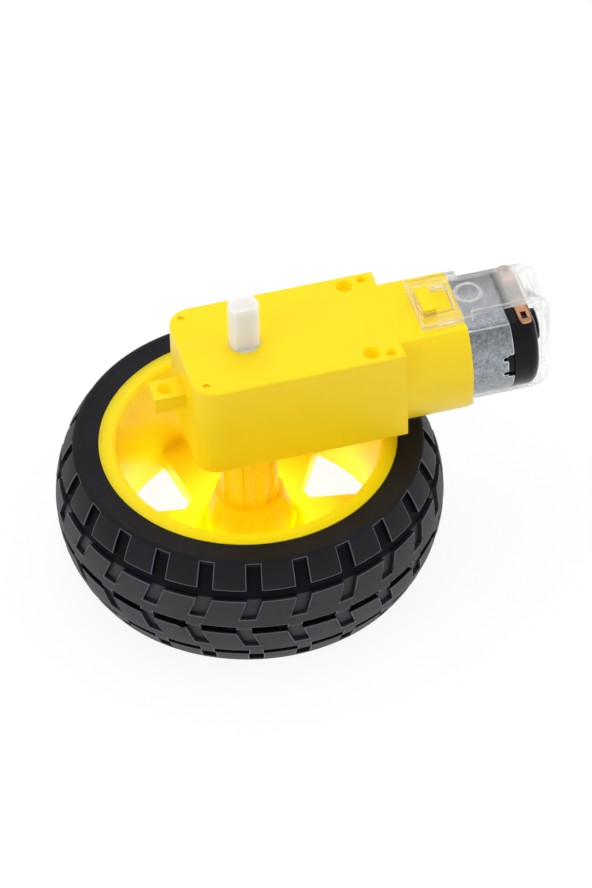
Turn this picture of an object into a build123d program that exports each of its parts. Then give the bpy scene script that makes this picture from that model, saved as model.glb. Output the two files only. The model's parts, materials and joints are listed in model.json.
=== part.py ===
"""Right-angle geared DC motor with its spoked wheel, standing on the wheel's outer side.

The origin is on the output axis at the wheel's outer side face. +Z runs up the output shaft,
+X runs from the output shaft to the motor, and every size is in millimetres.
"""

import os
from math import acos, asin, cos, pi, radians, sin, tan

from build123d import *

os.makedirs("parts", exist_ok=True)

# Wheel and tyre
rim_radius = 26.0
tyre_crown_height = 8.0
tyre_shoulder_height = 4.4
tyre_width = 24.0
tread_depth = 1.3
tread_groove_count = 2
tread_block_count = 24
tread_notch_width = 2.0
tread_notch_length = 5.0
tread_groove_width = 1.2
barrel_wall = 2.9
lip_edge = 0.5
web_bottom = 0.8
web_thickness = 2.0
web_rise = 1.5
web_rise_end = 18.0
window_count = 6
window_phase = 21.0
window_inner_radius = 12.1
spoke_half_width_inner = 4.9
spoke_half_width_outer = 2.85
hub_radius = 8.0
hub_flare = 1.6
hub_shoulder_radius = 6.0
hub_wall = 2.2
boss_radius = 4.75
boss_base = 11.6
boss_well_radius = 3.2
boss_rib_count = 8
boss_rib_phase = 8.4
boss_rib_width = 1.5
boss_rib_height = 0.35
wheel_gap = 0.8
wheel_screw_radius = 1.3

# Gear case
wheel_to_case = 4.1
case_thickness = 18.8
case_front = -11.3
case_rear = 25.8
case_width = 22.5
case_corner = 4.0
case_wall = 1.8
case_edge = 0.5
neck_length = 11.85
neck_half_width = 11.2
neck_rise = 12.5
neck_step = 0.15
tab_length = 5.4
tab_width = 4.8
tab_top = 2.3
tab_bottom = 0.9
tab_hole_radius = 1.5
tab_hole_inset = 2.5
mount_hole_inset = 5.6
mount_hole_spacing = 17.5
mount_hole_radius = 1.5
mount_post_radius = 2.4
cavity_end = 24.0
screw_radius = 0.75
screw_head_radius = 1.15
screw_head_height = 0.9
screw_head_recess = 0.3
screw_end_inset = 2.3
screw_rear_edge = 1.65
screw_front_edge = 2.45
screw_post_radius = 1.6
screw_slot_width = 0.4
screw_slot_depth = 0.5
screw_tip_margin = 3.2
screw_tip_gap = 0.4
tip_mark_radius = 0.95
tip_mark_depth = 1.0
dimple_radius = 0.65
dimple_depth = 0.4

# Retaining strap
strap_thickness = 1.25
strap_lap = 7.65
strap_wide_length = 9.2
strap_wide_half = 6.1
strap_narrow_half = 4.65
strap_reach = 3.1
strap_rear_thickness = 1.5
strap_bend = 3.4
strap_window_inset = 1.0
strap_window_length = 5.5
strap_window_half = 3.0
lug_length = 2.4
lug_proud = 0.5
strap_slot_length = 7.6
strap_slot_width = 4.4
strap_ring_inset = 9.85
strap_ring_radius = 2.4
strap_ring_width = 0.35
strap_ring_height = 0.25

# Output shaft
shaft_radius = 2.7
shaft_flats = 3.7
shaft_reach = 9.2
shaft_tip_chamfer = 0.5
shaft_core_radius = 3.2
shaft_core_flats = 5.5
shaft_flange_radius = 4.2
shaft_flange_thickness = 0.8

# Gear train: two 8 to 32 spur pairs after an 8 to 24 crown pair, 48 to 1 in all
pinion_teeth = 8
wheel_teeth = 32
crown_teeth = 24
slow_module = 0.5
fast_module = 0.4
pressure_angle = 20.0
wheel_addendum = 0.8
wheel_dedendum = 1.2
pinion_addendum = 0.9
pinion_dedendum = 1.3
motor_pinion_addendum = 1.0
motor_pinion_dedendum = 0.8
tooth_thinning = 0.12
motor_pinion_thinning = 0.06
output_gear_base = -0.7
output_gear_thickness = 4.0
output_hub_radius = 4.6
middle_pin_radius = 0.75
middle_gear_base = -5.3
middle_gear_thickness = 1.7
middle_hub_radius = 1.8
crown_pin_radius = 0.6
crown_pinion_drop = 0.2
crown_disc_radius = 5.6
crown_disc_thickness = 1.2
crown_root_drop = 0.5
crown_tip_rise = 0.22
crown_tooth_inner = 4.2
crown_tooth_outer = 5.4
crown_tip_width = 0.16
crown_pitch_width = 0.30
crown_root_width = 0.44
crown_collar_radius = 1.7
crown_collar_height = 0.7
pin_boss_radius = 1.7
pin_socket = 0.8

# Motor
motor_front = 25.1
can_length = 20.4
can_radius = 10.05
can_half_height = 7.55
can_wall = 0.5
can_nose_radius = 3.0
can_nose_length = 1.05
crimp_notch_length = 1.1
crimp_notch_top = 2.9
crimp_notch_bottom = -1.7
crimp_ear_radius = 0.35
crimp_ear_length = 0.55
crimp_ear_heights = (2.2, -0.9)
cap_length = 4.7
cap_plug_length = 1.6
cap_edge = 1.8
cap_nose_radius = 2.75
cap_nose_length = 1.9
cap_pocket_half_width = 5.0
cap_pocket_half_height = 6.0
cap_pocket_floor = 1.8
motor_shaft_radius = 1.0
bearing_radius = 2.2
front_bearing_length = 2.0
rear_bearing_length = 2.4
core_inset = 4.9
core_rear_room = 5.5
rotor_radius = 6.2
rotor_hub_radius = 2.4
pole_count = 3
pole_width = 2.4
pole_tip_thickness = 1.0
pole_tip_gap = 2.0
coil_thickness = 1.3
coil_inner_radius = 2.6
coil_outer_radius = 4.3
coil_gap = 0.02
air_gap = 0.6
magnet_inset = 2.9
magnet_rear_room = 3.5
magnet_half_angle = 38.0
spring_thickness = 0.3
spring_length = 6.0
spring_half_width = 5.6
spring_leg = 2.4
commutator_inset = 2.6
commutator_length = 4.4
commutator_hub_radius = 1.5
commutator_radius = 2.0
commutator_gap = 0.4
segment_inset = 0.5
spacer_radius = 1.6
brush_thickness = 0.3
brush_width = 1.6
brush_inset = 1.8
brush_arm_height = 1.2
brush_tail = 1.5
brush_clearance = 0.12
terminal_inset = 1.7
terminal_width = 2.1
terminal_corner = 0.7
terminal_thickness = 0.4
terminal_reach = 7.4
terminal_hole_length = 1.7
terminal_hole_width = 1.0
terminal_hole_inset = 1.8

# Fits
shaft_clearance = 0.05
seat_clearance = 0.05
press_clearance = 0.01
thread_clearance = 0.03
screw_clearance = 0.06
screw_head_clearance = 0.1
end_play = 0.3
through_margin = 1.0

# Levels and places that follow from the sizes above
tyre_radius = rim_radius + tyre_crown_height
shoulder_radius = rim_radius + tyre_shoulder_height
case_bottom = tyre_width + wheel_to_case
axis_height = case_bottom + case_thickness / 2
case_top = case_bottom + case_thickness
case_half_height = case_thickness / 2
cavity_half_height = case_half_height - case_wall
neck_half_height = case_half_height - neck_step
neck_end = case_rear + neck_length
tab_front = case_front - tab_length
shaft_bottom = case_bottom - shaft_reach
shaft_top = case_top + shaft_reach
boss_top = case_bottom - wheel_gap
boss_floor = shaft_bottom - hub_wall
web_top = web_bottom + web_thickness
web_rim_top = web_top + web_rise
barrel_inner_radius = rim_radius - barrel_wall
hub_foot_radius = hub_radius + hub_flare
mount_hole_x = case_rear - mount_hole_inset
screw_front_x = case_front + screw_end_inset
screw_front_y = case_width / 2 - screw_front_edge
screw_rear_x = case_rear - screw_end_inset
screw_rear_y = case_width / 2 - screw_rear_edge
screw_seat = screw_head_recess + screw_head_height - case_half_height
screw_tip_level = case_half_height - screw_tip_margin
middle_pin_x = slow_module * (pinion_teeth + wheel_teeth) / 2
crown_pin_x = middle_pin_x + fast_module * (pinion_teeth + wheel_teeth) / 2
motor_pinion_radius = fast_module * pinion_teeth / 2
crown_root_level = -motor_pinion_radius - crown_root_drop
crown_pitch_level = -motor_pinion_radius
crown_tip_level = -motor_pinion_radius + crown_tip_rise
crown_disc_bottom = crown_root_level - crown_disc_thickness
crown_bottom = middle_gear_base - crown_pinion_drop
crown_collar_top = crown_root_level + crown_collar_height
middle_gear_top = middle_gear_base + middle_gear_thickness
middle_pinion_base = output_gear_base - crown_pinion_drop
middle_top = output_gear_base + output_gear_thickness + crown_pinion_drop
motor_pinion_front = crown_pin_x + crown_tooth_inner - end_play
motor_pinion_rear = crown_pin_x + crown_tooth_outer + end_play
can_rear = motor_front + can_length
cap_rear = can_rear + cap_length
cap_nose_rear = cap_rear + cap_nose_length
cap_pocket_rear = cap_rear - cap_pocket_floor
# Rounded, so that the lengths keep whole decimals
core_length = round(can_length - core_inset - core_rear_room, 6)
magnet_length = round(can_length - magnet_inset - magnet_rear_room, 6)
core_front = motor_front + core_inset
core_rear = core_front + core_length
magnet_front = motor_front + magnet_inset
commutator_front = core_rear + commutator_inset
brush_front = commutator_front + brush_inset
terminal_front = can_rear + terminal_inset
magnet_inner_radius = rotor_radius + air_gap
magnet_outer_radius = can_radius - can_wall - seat_clearance
front_bearing_front = motor_front - can_nose_length + seat_clearance
front_bearing_rear = front_bearing_front + front_bearing_length
rear_bearing_front = cap_pocket_rear
strap_front = neck_end - strap_lap
strap_rear = cap_rear + strap_reach
strap_wide_end = strap_front + strap_wide_length
strap_window_front = strap_front + strap_window_inset
strap_ring_x = strap_front + strap_ring_inset
strap_inner_half_height = neck_half_height + seat_clearance
strap_outer_half_height = strap_inner_half_height + strap_thickness
strap_inner_rear = strap_rear - strap_rear_thickness
lug_front = strap_window_front + seat_clearance
brush_y = commutator_radius + brush_clearance
terminal_leg_y = brush_y + brush_thickness
flat_cutter = 2 * (shaft_radius + through_margin)
pole_gap_cutter = 2 * (pole_tip_thickness + through_margin)

sides = {"left": -1, "right": 1}
screw_places = [
    (screw_rear_x, -screw_rear_y),
    (screw_rear_x, screw_rear_y),
    (screw_front_x, -screw_front_y),
    (screw_front_x, screw_front_y),
]
rear_screw_places = screw_places[:2]
front_screw_places = screw_places[2:]
mount_places = [(mount_hole_x, -mount_hole_spacing / 2), (mount_hole_x, mount_hole_spacing / 2)]


def save(piece, label):
    """Name a finished piece and write its file."""
    piece.part.label = label
    export_step(piece.part, f"parts/{label}.step")


def level(height):
    """Horizontal plane at a height counted from the motor's axis."""
    return Plane.XY.offset(axis_height + height)


def across(x):
    """Plane square to the motor's axis at x, with its origin on the axis and its own X along +Y."""
    return Plane(origin=(x, 0, axis_height), x_dir=(0, 1, 0), z_dir=(1, 0, 0))


def polar(radius, angle):
    """Point at a radius and an angle in radians."""
    return (radius * cos(angle), radius * sin(angle))


def disc(bottom, height, radius, places=((0, 0),), mode=Mode.ADD):
    """Upright cylinders in the open part, from a height counted from the motor's axis."""
    with BuildSketch(level(bottom)) as outline:
        with Locations(*places):
            Circle(radius)
    extrude(outline.sketch, amount=height, mode=mode)


def rod(front, length, radius, mode=Mode.ADD):
    """Cylinder on the motor's axis in the open part."""
    with BuildSketch(across(front)) as outline:
        Circle(radius)
    extrude(outline.sketch, amount=length, mode=mode)


def double_d(radius, flats, mode=Mode.ADD):
    """Circle with two flats that face +Y and -Y, in the open sketch."""
    with BuildSketch(Plane.XY, mode=Mode.PRIVATE) as section:
        Circle(radius)
        Rectangle(2 * radius, flats, mode=Mode.INTERSECT)
    add(section.sketch, mode=mode)


def can_body(front, length, shrink, mode=Mode.ADD):
    """Length of the can, round at the sides and flat above and below, in the open part."""
    with BuildSketch(across(front)) as outline:
        Circle(can_radius - shrink)
        Rectangle(2 * can_radius, 2 * (can_half_height - shrink), mode=Mode.INTERSECT)
    extrude(outline.sketch, amount=length, mode=mode)


def tooth(teeth, module, addendum, dedendum, thinning):
    """One involute tooth that points along +X, with its foot inside the root circle."""
    pitch_radius = module * teeth / 2
    base_radius = pitch_radius * cos(radians(pressure_angle))
    root_radius = pitch_radius - dedendum * module
    tip_radius = pitch_radius + addendum * module
    foot_radius = max(base_radius, root_radius)
    pitch_half_angle = pi / (2 * teeth) - thinning / (2 * pitch_radius)
    pitch_involute = tan(radians(pressure_angle)) - radians(pressure_angle)

    def half_angle(radius):
        roll = acos(min(1.0, base_radius / radius))
        return pitch_half_angle + pitch_involute - (tan(roll) - roll)

    radii = [foot_radius, (foot_radius + tip_radius) / 2, tip_radius]
    upper = [polar(radius, half_angle(radius)) for radius in radii]
    lower = [polar(radius, -half_angle(radius)) for radius in radii]
    with BuildSketch() as outline:
        with BuildLine():
            ThreePointArc(*lower)
            ThreePointArc(lower[-1], (tip_radius, 0), upper[-1])
            ThreePointArc(*reversed(upper))
            Polyline(upper[0], polar(root_radius / 2, half_angle(foot_radius)),
                     polar(root_radius / 2, -half_angle(foot_radius)), lower[0])
        make_face()
    return outline.sketch


def gear_section(teeth, module, addendum, dedendum, thinning, phase):
    """Whole toothed outline, with a tooth at the phase angle."""
    one_tooth = tooth(teeth, module, addendum, dedendum, thinning)
    with BuildSketch() as outline:
        Circle(module * teeth / 2 - dedendum * module)
        with PolarLocations(0, teeth, start_angle=phase):
            add(one_tooth)
    return outline.sketch


def wheel_section(module):
    """Outline of a 32-tooth wheel with a tooth on +X."""
    return gear_section(wheel_teeth, module, wheel_addendum, wheel_dedendum, tooth_thinning, 0)


def pinion_section(module):
    """Outline of an 8-tooth pinion with a tooth space on -X."""
    phase = 180 / pinion_teeth
    return gear_section(pinion_teeth, module, pinion_addendum, pinion_dedendum, tooth_thinning, phase)


def toothed_disc(section, bottom, height, x):
    """Extrude a toothed outline in the open part, on an upright axis at x."""
    with BuildSketch(level(bottom)) as outline:
        with Locations((x, 0)):
            add(section)
    extrude(outline.sketch, amount=height)


# ---------------------------------------------------------------- wheel
def window_section():
    """One window between two spokes, centred on +X."""
    half_pitch = pi / window_count
    inner = half_pitch - asin(spoke_half_width_inner / window_inner_radius)
    outer = half_pitch - asin(spoke_half_width_outer / barrel_inner_radius)
    with BuildSketch() as window:
        with BuildLine():
            Polyline(polar(barrel_inner_radius, -outer), polar(window_inner_radius, -inner),
                     polar(window_inner_radius, inner), polar(barrel_inner_radius, outer))
            ThreePointArc(polar(barrel_inner_radius, outer), (barrel_inner_radius, 0),
                          polar(barrel_inner_radius, -outer))
        make_face()
    return window.sketch


window = window_section()

with BuildPart() as wheel_rim:
    with BuildSketch(Plane.XZ):
        with BuildLine():
            Polyline((barrel_inner_radius, 0), (rim_radius, 0), (rim_radius, tyre_width),
                     (barrel_inner_radius + lip_edge, tyre_width),
                     (barrel_inner_radius, tyre_width - lip_edge), close=True)
        make_face()
        with BuildLine():
            Polyline((hub_foot_radius - hub_wall, web_bottom), (rim_radius, web_bottom),
                     (rim_radius, web_rim_top), (web_rise_end, web_rim_top),
                     (hub_foot_radius, web_top), (hub_radius, web_top + hub_flare),
                     (hub_shoulder_radius, boss_base), (boss_well_radius, boss_base),
                     (boss_well_radius, boss_base - hub_wall),
                     (hub_shoulder_radius - hub_wall, boss_base - hub_wall), close=True)
        make_face()
        with BuildLine():
            Polyline((boss_well_radius, 0), (boss_radius, 0), (boss_radius, boss_top),
                     (boss_well_radius, boss_top), close=True)
        make_face()
    revolve(axis=Axis.Z)
    with BuildSketch(Plane.XY.offset(boss_floor)):
        Circle(boss_radius)
    extrude(amount=boss_top - boss_floor)
    with BuildSketch(Plane.XY.offset(boss_base)):
        with PolarLocations(boss_radius, boss_rib_count, start_angle=boss_rib_phase):
            Rectangle(2 * boss_rib_height, boss_rib_width)
    extrude(amount=boss_top - boss_base - boss_rib_width)
    with BuildSketch(Plane.XY.offset(boss_top)):
        double_d(shaft_radius + shaft_clearance, shaft_flats + 2 * shaft_clearance)
    extrude(amount=shaft_bottom - seat_clearance - boss_top, mode=Mode.SUBTRACT)
    with BuildSketch(Plane.XY.offset(boss_floor)):
        Circle(wheel_screw_radius)
    extrude(amount=boss_top - boss_floor, mode=Mode.SUBTRACT)
    with BuildSketch(Plane.XY):
        with PolarLocations(0, window_count, start_angle=window_phase):
            add(window)
    extrude(amount=web_rim_top + through_margin, mode=Mode.SUBTRACT)
save(wheel_rim, "wheel_rim")

with BuildPart() as tyre:
    with BuildSketch(Plane.XZ):
        with BuildLine():
            Polyline((shoulder_radius, 0), (rim_radius, 0), (rim_radius, tyre_width),
                     (shoulder_radius, tyre_width))
            ThreePointArc((shoulder_radius, tyre_width), (tyre_radius, tyre_width / 2),
                          (shoulder_radius, 0))
        make_face()
    revolve(axis=Axis.Z)
    with BuildSketch(Plane.XY):
        with PolarLocations(tyre_radius, tread_block_count):
            Rectangle(2 * (tyre_radius - shoulder_radius + tread_depth), tread_notch_width)
    extrude(amount=tread_notch_length, mode=Mode.SUBTRACT)
    with BuildSketch(Plane.XY.offset(tyre_width)):
        with PolarLocations(tyre_radius, tread_block_count):
            Rectangle(2 * (tyre_radius - shoulder_radius + tread_depth), tread_notch_width)
    extrude(amount=-tread_notch_length, mode=Mode.SUBTRACT)
    for groove in range(1, tread_groove_count + 1):
        groove_height = groove * tyre_width / (tread_groove_count + 1)
        with BuildSketch(Plane.XY.offset(groove_height - tread_groove_width / 2)):
            Circle(tyre_radius + through_margin)
            Circle(tyre_radius - tread_depth, mode=Mode.SUBTRACT)
        extrude(amount=tread_groove_width, mode=Mode.SUBTRACT)
save(tyre, "tyre")


# ---------------------------------------------------------------- gear case
def make_case_half(side):
    """One half of the gear case: side is 1 for the upper half and -1 for the lower half."""
    outer = side * case_half_height
    inner = side * cavity_half_height
    half_align = Align.MIN if side > 0 else Align.MAX
    tab_height = tab_top if side > 0 else tab_bottom
    with BuildPart() as half:
        with BuildSketch(level(0)) as body:
            with Locations((case_front, 0)):
                Rectangle(case_rear - case_front, case_width, align=(Align.MIN, Align.CENTER))
            fillet(body.vertices().group_by(Axis.X)[0], case_corner)
        extrude(amount=outer)
        outer_face = half.faces().sort_by(Axis.Z)[-1 if side > 0 else 0]
        fillet(outer_face.edges(), case_edge)
        with BuildSketch(across(case_rear - case_edge - case_wall)):
            Ellipse(neck_half_width, neck_rise)
            Rectangle(2 * neck_half_width, neck_half_height, align=(Align.CENTER, half_align),
                      mode=Mode.INTERSECT)
        extrude(amount=neck_length + case_edge + case_wall)
        with BuildSketch(level(0)):
            with Locations((tab_front, 0)):
                Rectangle(tab_length + case_wall, tab_width, align=(Align.MIN, Align.CENTER))
        extrude(amount=side * tab_height)
        with BuildSketch(level(0)) as cavity:
            with Locations((case_front + case_wall, 0)):
                Rectangle(cavity_end - case_front - case_wall, case_width - 2 * case_wall,
                          align=(Align.MIN, Align.CENTER))
            fillet(cavity.vertices().group_by(Axis.X)[0], case_corner - case_wall)
        extrude(amount=inner, mode=Mode.SUBTRACT)
        disc(0, inner, mount_post_radius, mount_places)
        disc(0, inner, screw_post_radius, screw_places)
        disc(inner, side * (middle_top + end_play) - inner if side > 0
             else middle_gear_base - end_play - inner, pin_boss_radius, [(middle_pin_x, 0)])
        disc(inner, crown_collar_top + end_play - inner if side > 0
             else crown_bottom - end_play - inner, pin_boss_radius, [(crown_pin_x, 0)])
        can_body(motor_front - seat_clearance, neck_end - motor_front + through_margin,
                 -seat_clearance, Mode.SUBTRACT)
        rod(cavity_end - through_margin, motor_front - cavity_end + 2 * through_margin,
            can_nose_radius + seat_clearance, Mode.SUBTRACT)
        disc(0, side * case_thickness, shaft_radius + shaft_clearance, mode=Mode.SUBTRACT)
        disc(0, side * case_thickness, mount_hole_radius, mount_places, Mode.SUBTRACT)
        disc(0, side * case_thickness, tab_hole_radius, [(tab_front + tab_hole_inset, 0)],
             Mode.SUBTRACT)
        disc(-inner, 2 * inner + side * pin_socket, middle_pin_radius + seat_clearance,
             [(middle_pin_x, 0)], Mode.SUBTRACT)
        disc(-inner, 2 * inner + side * pin_socket, crown_pin_radius + seat_clearance,
             [(crown_pin_x, 0)], Mode.SUBTRACT)
        if side > 0:
            disc(0, screw_tip_level + screw_tip_gap, screw_radius + thread_clearance, screw_places,
                 Mode.SUBTRACT)
            disc(case_half_height, -tip_mark_depth, tip_mark_radius, rear_screw_places,
                 Mode.SUBTRACT)
            disc(case_half_height, -dimple_depth, dimple_radius, front_screw_places, Mode.SUBTRACT)
        else:
            disc(0, outer, screw_radius + screw_clearance, screw_places, Mode.SUBTRACT)
            disc(outer, screw_seat - outer, screw_head_radius + screw_head_clearance,
                 screw_places, Mode.SUBTRACT)
        with BuildSketch(level(side * (neck_half_height - case_edge))):
            with Locations((lug_front, 0)):
                Rectangle(lug_length, 2 * (strap_window_half - seat_clearance),
                          align=(Align.MIN, Align.CENTER))
        extrude(amount=side * (case_edge + strap_thickness + seat_clearance + lug_proud))
    return half


case_upper = make_case_half(1)
save(case_upper, "case_upper")
case_lower = make_case_half(-1)
save(case_lower, "case_lower")

with BuildPart() as case_screws:
    disc(screw_seat, screw_tip_level - screw_seat, screw_radius, screw_places)
    disc(screw_seat, -screw_head_height, screw_head_radius, screw_places)
    with BuildSketch(level(screw_seat - screw_head_height)):
        with Locations(*screw_places):
            Rectangle(2 * screw_radius, screw_slot_width)
            Rectangle(screw_slot_width, 2 * screw_radius)
    extrude(amount=screw_slot_depth, mode=Mode.SUBTRACT)
save(case_screws, "case_screws")

# ---------------------------------------------------------------- strap
with BuildPart() as retaining_strap:
    with BuildSketch(Plane.XZ) as strap_outline:
        with Locations((strap_front, axis_height)):
            Rectangle(strap_rear - strap_front, 2 * strap_outer_half_height,
                      align=(Align.MIN, Align.CENTER))
        fillet(strap_outline.vertices().group_by(Axis.X)[-1], strap_bend)
        with BuildSketch(mode=Mode.PRIVATE) as strap_inside:
            with Locations((strap_front, axis_height)):
                Rectangle(strap_inner_rear - strap_front, 2 * strap_inner_half_height,
                          align=(Align.MIN, Align.CENTER))
            fillet(strap_inside.vertices().group_by(Axis.X)[-1], strap_bend - strap_rear_thickness)
        add(strap_inside.sketch, mode=Mode.SUBTRACT)
    extrude(amount=strap_wide_half, both=True)
    with BuildSketch(Plane.XY):
        with Locations((strap_wide_end, strap_narrow_half), (strap_wide_end, -strap_wide_half)):
            Rectangle(strap_rear - strap_wide_end + through_margin,
                      strap_wide_half - strap_narrow_half, align=(Align.MIN, Align.MIN))
        with Locations((strap_window_front, 0)):
            Rectangle(strap_window_length, 2 * strap_window_half, align=(Align.MIN, Align.CENTER))
    extrude(amount=2 * axis_height, mode=Mode.SUBTRACT)
    rod(strap_inner_rear - through_margin, strap_rear_thickness + 2 * through_margin,
        cap_nose_radius + end_play, Mode.SUBTRACT)
    for side in (-1, 1):
        bend_plane = Plane(origin=(strap_rear, 0, axis_height + side * strap_outer_half_height),
                           x_dir=(0, 1, 0), z_dir=(-1, 0, -side))
        with BuildSketch(bend_plane):
            SlotOverall(strap_slot_length, strap_slot_width)
        extrude(amount=strap_bend, mode=Mode.SUBTRACT)
    with BuildSketch(level(strap_outer_half_height)):
        with Locations((strap_ring_x, 0)):
            Circle(strap_ring_radius)
            Circle(strap_ring_radius - strap_ring_width, mode=Mode.SUBTRACT)
    extrude(amount=strap_ring_height)
save(retaining_strap, "retaining_strap")

# ---------------------------------------------------------------- output shaft and gears
with BuildPart() as output_shaft:
    with BuildSketch(Plane.XZ):
        with BuildLine():
            Polyline((0, shaft_bottom), (shaft_radius - shaft_tip_chamfer, shaft_bottom),
                     (shaft_radius, shaft_bottom + shaft_tip_chamfer),
                     (shaft_radius, shaft_top - shaft_tip_chamfer),
                     (shaft_radius - shaft_tip_chamfer, shaft_top), (0, shaft_top), close=True)
        make_face()
    revolve(axis=Axis.Z)
    for side in sides.values():
        with BuildSketch(level(side * case_half_height)):
            Rectangle(flat_cutter, flat_cutter)
            Rectangle(flat_cutter, shaft_flats, mode=Mode.SUBTRACT)
        extrude(amount=side * (shaft_reach + through_margin), mode=Mode.SUBTRACT)
    disc(output_gear_base - shaft_flange_thickness, shaft_flange_thickness, shaft_flange_radius)
    with BuildSketch(level(output_gear_base)):
        double_d(shaft_core_radius, shaft_core_flats)
    extrude(amount=cavity_half_height - end_play - output_gear_base)
save(output_shaft, "output_shaft")

slow_wheel = wheel_section(slow_module)
fast_wheel = wheel_section(fast_module)
slow_pinion = pinion_section(slow_module)
fast_pinion = pinion_section(fast_module)

with BuildPart() as output_gear:
    toothed_disc(slow_wheel, output_gear_base, output_gear_thickness, 0)
    disc(output_gear_base, cavity_half_height - end_play - output_gear_base, output_hub_radius)
    with BuildSketch(level(output_gear_base)):
        double_d(shaft_core_radius + seat_clearance, shaft_core_flats + 2 * seat_clearance)
    extrude(amount=case_half_height, mode=Mode.SUBTRACT)
save(output_gear, "output_gear")

with BuildPart() as middle_gear:
    toothed_disc(fast_wheel, middle_gear_base, middle_gear_thickness, middle_pin_x)
    disc(middle_gear_top, middle_pinion_base - middle_gear_top, middle_hub_radius,
         [(middle_pin_x, 0)])
    toothed_disc(slow_pinion, middle_pinion_base, middle_top - middle_pinion_base, middle_pin_x)
    disc(middle_gear_base, middle_top - middle_gear_base, middle_pin_radius + shaft_clearance,
         [(middle_pin_x, 0)], Mode.SUBTRACT)
save(middle_gear, "middle_gear")

with BuildPart() as crown_tooth:
    with BuildSketch(Plane.YZ.offset(crown_tooth_inner)):
        with BuildLine():
            Polyline((-crown_root_width / 2, crown_root_level - seat_clearance),
                     (-crown_root_width / 2, crown_root_level),
                     (-crown_pitch_width / 2, crown_pitch_level),
                     (-crown_tip_width / 2, crown_tip_level),
                     (crown_tip_width / 2, crown_tip_level),
                     (crown_pitch_width / 2, crown_pitch_level),
                     (crown_root_width / 2, crown_root_level),
                     (crown_root_width / 2, crown_root_level - seat_clearance), close=True)
        make_face()
    extrude(amount=crown_tooth_outer - crown_tooth_inner)

with BuildPart() as crown_gear:
    toothed_disc(fast_pinion, crown_bottom, crown_disc_bottom - crown_bottom, crown_pin_x)
    disc(crown_disc_bottom, crown_disc_thickness, crown_disc_radius, [(crown_pin_x, 0)])
    disc(crown_root_level, crown_collar_height, crown_collar_radius, [(crown_pin_x, 0)])
    with Locations((crown_pin_x, 0, axis_height)):
        with PolarLocations(0, crown_teeth):
            add(crown_tooth.part)
    disc(crown_bottom, crown_collar_top - crown_bottom, crown_pin_radius + shaft_clearance,
         [(crown_pin_x, 0)], Mode.SUBTRACT)
save(crown_gear, "crown_gear")

with BuildPart() as middle_pin:
    disc(-cavity_half_height - pin_socket, 2 * (cavity_half_height + pin_socket), middle_pin_radius,
         [(middle_pin_x, 0)])
save(middle_pin, "middle_pin")

with BuildPart() as crown_pin:
    disc(-cavity_half_height - pin_socket, 2 * (cavity_half_height + pin_socket), crown_pin_radius,
         [(crown_pin_x, 0)])
save(crown_pin, "crown_pin")

# The motor pinion has a tooth space straight below its axis, over the crown tooth on +X.
motor_pinion_outline = gear_section(pinion_teeth, fast_module, motor_pinion_addendum,
                                    motor_pinion_dedendum, motor_pinion_thinning,
                                    180 / pinion_teeth - 90)

with BuildPart() as motor_pinion:
    with BuildSketch(across(motor_pinion_front)):
        add(motor_pinion_outline)
    extrude(amount=motor_pinion_rear - motor_pinion_front)
    rod(motor_pinion_front, motor_pinion_rear - motor_pinion_front,
        motor_shaft_radius + press_clearance, Mode.SUBTRACT)
save(motor_pinion, "motor_pinion")

# ---------------------------------------------------------------- motor: what stands still
with BuildPart() as motor_can:
    can_body(motor_front, can_length, 0)
    can_body(motor_front + can_wall, can_length, can_wall, Mode.SUBTRACT)
    rod(motor_front - can_nose_length, can_nose_length + can_wall, can_nose_radius)
    rod(motor_front - can_nose_length, can_nose_length + can_wall, bearing_radius + press_clearance,
        Mode.SUBTRACT)
    with BuildSketch(Plane.XZ):
        with Locations((can_rear - crimp_notch_length, axis_height + crimp_notch_bottom)):
            Rectangle(crimp_notch_length, crimp_notch_top - crimp_notch_bottom,
                      align=(Align.MIN, Align.MIN))
        for ear_height in crimp_ear_heights:
            with Locations((can_rear - crimp_notch_length, axis_height + ear_height)):
                SlotCenterToCenter(2 * crimp_ear_length, 2 * crimp_ear_radius)
    extrude(amount=can_radius, both=True, mode=Mode.SUBTRACT)
save(motor_can, "motor_can")

with BuildPart() as motor_end_cap:
    can_body(can_rear, cap_length, 0)
    fillet(motor_end_cap.faces().sort_by(Axis.X)[-1].edges(), cap_edge)
    can_body(can_rear - cap_plug_length, cap_plug_length, can_wall + seat_clearance)
    rod(cap_rear - cap_edge, cap_edge + cap_nose_length, cap_nose_radius)
    with BuildSketch(across(can_rear - cap_plug_length)):
        Rectangle(2 * cap_pocket_half_width, 2 * cap_pocket_half_height)
    extrude(amount=cap_pocket_rear - can_rear + cap_plug_length, mode=Mode.SUBTRACT)
    rod(rear_bearing_front, rear_bearing_length, bearing_radius + press_clearance, Mode.SUBTRACT)
    rod(rear_bearing_front, cap_nose_rear - rear_bearing_front, motor_shaft_radius + end_play,
        Mode.SUBTRACT)
    for side in sides.values():
        with BuildSketch(level(cap_pocket_half_height - through_margin)):
            with Locations((terminal_front + terminal_width / 2,
                            side * (terminal_leg_y + terminal_thickness / 2))):
                Rectangle(terminal_width + 2 * seat_clearance, terminal_thickness + 2 * seat_clearance)
        extrude(amount=can_half_height, mode=Mode.SUBTRACT)
save(motor_end_cap, "motor_end_cap")

with BuildPart() as front_bearing:
    rod(front_bearing_front, front_bearing_length, bearing_radius)
    rod(front_bearing_front, front_bearing_length, motor_shaft_radius + shaft_clearance, Mode.SUBTRACT)
save(front_bearing, "front_bearing")

with BuildPart() as rear_bearing:
    rod(rear_bearing_front, rear_bearing_length, bearing_radius)
    rod(rear_bearing_front, rear_bearing_length, motor_shaft_radius + shaft_clearance, Mode.SUBTRACT)
save(rear_bearing, "rear_bearing")

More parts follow.
